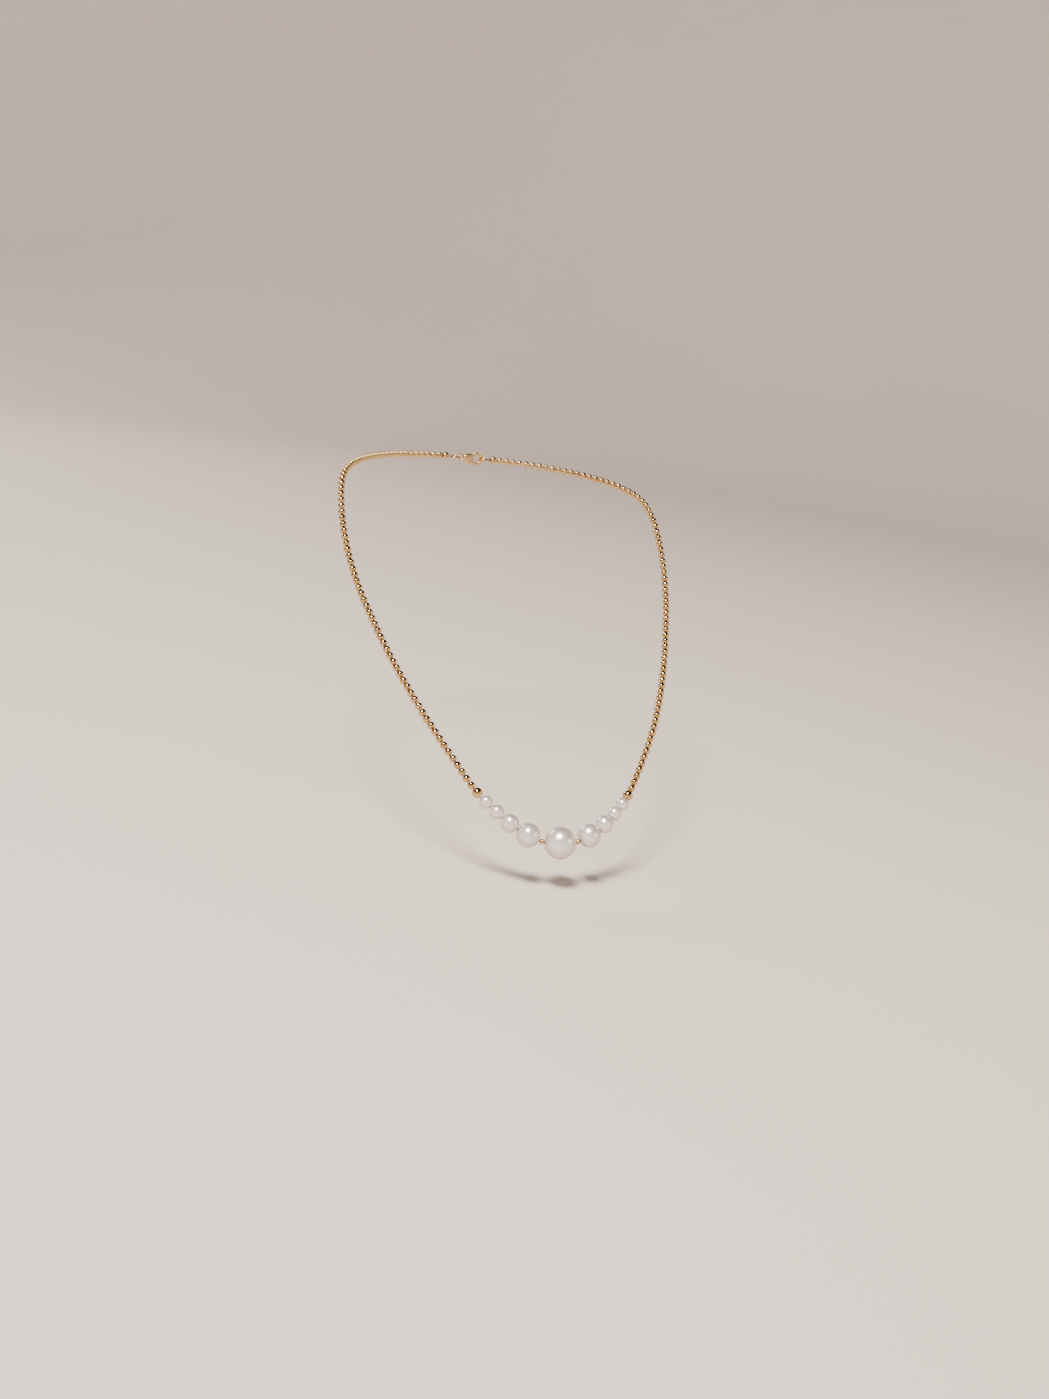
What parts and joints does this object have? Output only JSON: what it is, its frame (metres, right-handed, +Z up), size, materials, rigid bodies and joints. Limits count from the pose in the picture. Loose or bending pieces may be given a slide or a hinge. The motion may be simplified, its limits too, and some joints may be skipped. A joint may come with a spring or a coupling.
{
  "type": "pearl necklace",
  "caption": "Draped necklace strand: graduated white pearls between polished gold balls on beading wire, with crimp covers, rings and a lobster clasp.",
  "frame": {"origin": "middle of the back of the neck, on the centreline of the clasp, where the strand rests on the wearer", "axes": "+Z up, -Y towards the wearer's front, +X to the right of someone who faces the wearer; mirror plane at X = 0, except the clasp"},
  "size_m": [0.142, 0.1796, 0.1245],
  "materials": {
    "pearl": "polished",
    "polished_gold": "polished",
    "beading_wire": "satin",
    "spring_steel": "satin"
  },
  "bodies": {
    "neck_run": {"left_back_balls_1": "polished_gold", "left_back_balls_2": "polished_gold", "left_back_balls_3": "polished_gold", "left_back_balls_4": "polished_gold", "left_back_balls_5": "polished_gold", "left_back_balls_6": "polished_gold", "left_back_wire": "beading_wire", "right_back_balls_1": "polished_gold", "right_back_balls_2": "polished_gold", "right_back_balls_3": "polished_gold", "right_back_balls_4": "polished_gold", "right_back_balls_5": "polished_gold", "right_back_balls_6": "polished_gold", "right_back_wire": "beading_wire", "left_crimp_tube": "polished_gold", "left_crimp_cover": "polished_gold", "right_crimp_tube": "polished_gold", "right_crimp_cover": "polished_gold"},
    "upper_front": {"left_upper_balls_1": "polished_gold", "left_upper_balls_2": "polished_gold", "left_upper_balls_3": "polished_gold", "left_upper_balls_4": "polished_gold", "left_upper_wire": "beading_wire", "right_upper_balls_1": "polished_gold", "right_upper_balls_2": "polished_gold", "right_upper_balls_3": "polished_gold", "right_upper_balls_4": "polished_gold", "right_upper_wire": "beading_wire"},
    "lower_front": {"left_lower_balls_1": "polished_gold", "left_lower_balls_2": "polished_gold", "left_lower_wire": "beading_wire", "right_lower_balls_1": "polished_gold", "right_lower_balls_2": "polished_gold", "right_lower_wire": "beading_wire"},
    "pearl_row": {"pearl_row_wire": "beading_wire"},
    "jump_ring": {"jump_ring": "polished_gold"},
    "end_ring": {"end_ring": "polished_gold"},
    "clasp": {"clasp_body": "polished_gold", "clasp_pin": "spring_steel", "clasp_spring": "spring_steel"},
    "clasp_lever": {"clasp_lever": "polished_gold"},
    "centre_pearl": {"centre_pearl": "pearl"},
    "left_spacer_ball": {"left_spacer_ball": "polished_gold"},
    "left_pearl_1": {"left_pearl_1": "pearl"},
    "left_pearl_2": {"left_pearl_2": "pearl"},
    "left_pearl_3": {"left_pearl_3": "pearl"},
    "left_pearl_4": {"left_pearl_4": "pearl"},
    "left_large_ball": {"left_large_ball": "polished_gold"},
    "right_spacer_ball": {"right_spacer_ball": "polished_gold"},
    "right_pearl_1": {"right_pearl_1": "pearl"},
    "right_pearl_2": {"right_pearl_2": "pearl"},
    "right_pearl_3": {"right_pearl_3": "pearl"},
    "right_pearl_4": {"right_pearl_4": "pearl"},
    "right_large_ball": {"right_large_ball": "polished_gold"}
  },
  "joints": [
    {"name": "chest_lift", "type": "hinge", "parent": "neck_run", "child": "upper_front", "pos_m": [0, -0.07805, -0.03298], "axis": [-1, 0, 0], "range_deg": [0, 95]},
    {"name": "lower_lift", "type": "hinge", "parent": "upper_front", "child": "lower_front", "pos_m": [0, -0.13272, -0.07688], "axis": [-1, 0, 0], "range_deg": [0, 80]},
    {"name": "pearl_row_lift", "type": "hinge", "parent": "lower_front", "child": "pearl_row", "pos_m": [0, -0.15816, -0.10146], "axis": [-1, 0, 0], "range_deg": [0, 70]},
    {"name": "centre_pearl_spin", "type": "hinge", "parent": "pearl_row", "child": "centre_pearl", "pos_m": [0, -0.17108, -0.11568], "axis": [1, 0, 0], "continuous": true},
    {"name": "left_spacer_ball_spin", "type": "hinge", "parent": "pearl_row", "child": "left_spacer_ball", "pos_m": [-0.00704, -0.17075, -0.11544], "axis": [0.9216, -0.3153, -0.2264], "continuous": true},
    {"name": "left_pearl_1_spin", "type": "hinge", "parent": "pearl_row", "child": "left_pearl_1", "pos_m": [-0.012, -0.16887, -0.1136], "axis": [0.8737, -0.3384, -0.3495], "continuous": true},
    {"name": "left_pearl_2_spin", "type": "hinge", "parent": "pearl_row", "child": "left_pearl_2", "pos_m": [-0.0187, -0.16592, -0.11019], "axis": [0.7636, -0.3932, -0.5121], "continuous": true},
    {"name": "left_pearl_3_spin", "type": "hinge", "parent": "pearl_row", "child": "left_pearl_3", "pos_m": [-0.02344, -0.16322, -0.10691], "axis": [0.7186, -0.4641, -0.518], "continuous": true},
    {"name": "left_pearl_4_spin", "type": "hinge", "parent": "pearl_row", "child": "left_pearl_4", "pos_m": [-0.02715, -0.1606, -0.10406], "axis": [0.6632, -0.5126, -0.5453], "continuous": true},
    {"name": "left_large_ball_spin", "type": "hinge", "parent": "lower_front", "child": "left_large_ball", "pos_m": [-0.03008, -0.15816, -0.10146], "axis": [0.5962, -0.5492, -0.5856], "continuous": true},
    {"name": "right_spacer_ball_spin", "type": "hinge", "parent": "pearl_row", "child": "right_spacer_ball", "pos_m": [0.00704, -0.17075, -0.11544], "axis": [0.9216, 0.3153, 0.2264], "continuous": true},
    {"name": "right_pearl_1_spin", "type": "hinge", "parent": "pearl_row", "child": "right_pearl_1", "pos_m": [0.012, -0.16887, -0.1136], "axis": [0.8737, 0.3384, 0.3495], "continuous": true},
    {"name": "right_pearl_2_spin", "type": "hinge", "parent": "pearl_row", "child": "right_pearl_2", "pos_m": [0.0187, -0.16592, -0.11019], "axis": [0.7636, 0.3932, 0.5121], "continuous": true},
    {"name": "right_pearl_3_spin", "type": "hinge", "parent": "pearl_row", "child": "right_pearl_3", "pos_m": [0.02344, -0.16322, -0.10691], "axis": [0.7186, 0.4641, 0.518], "continuous": true},
    {"name": "right_pearl_4_spin", "type": "hinge", "parent": "pearl_row", "child": "right_pearl_4", "pos_m": [0.02715, -0.1606, -0.10406], "axis": [0.6632, 0.5126, 0.5453], "continuous": true},
    {"name": "right_large_ball_spin", "type": "hinge", "parent": "lower_front", "child": "right_large_ball", "pos_m": [0.03008, -0.15816, -0.10146], "axis": [0.5962, 0.5492, 0.5856], "continuous": true},
    {"name": "jump_ring_roll", "type": "hinge", "parent": "neck_run", "child": "jump_ring", "pos_m": [-0.0068, 0, 0], "axis": [1, 0, 0], "range_deg": [-15, 15]},
    {"name": "clasp_roll", "type": "hinge", "parent": "neck_run", "child": "clasp", "pos_m": [-0.00409, 0, 0], "axis": [1, 0, 0], "range_deg": [-15, 15]},
    {"name": "clasp_lever_press", "type": "hinge", "parent": "clasp", "child": "clasp_lever", "pos_m": [0.00032, 0, 0.001], "axis": [0, 1, 0], "range_deg": [0, 18], "stiffness_Nm_per_rad": 0.002, "springref_deg": -20.05, "deforming": ["clasp_spring"]},
    {"name": "end_ring_roll", "type": "hinge", "parent": "neck_run", "child": "end_ring", "pos_m": [0.0068, 0, 0], "axis": [1, 0, 0], "range_deg": [-15, 15]}
  ]
}
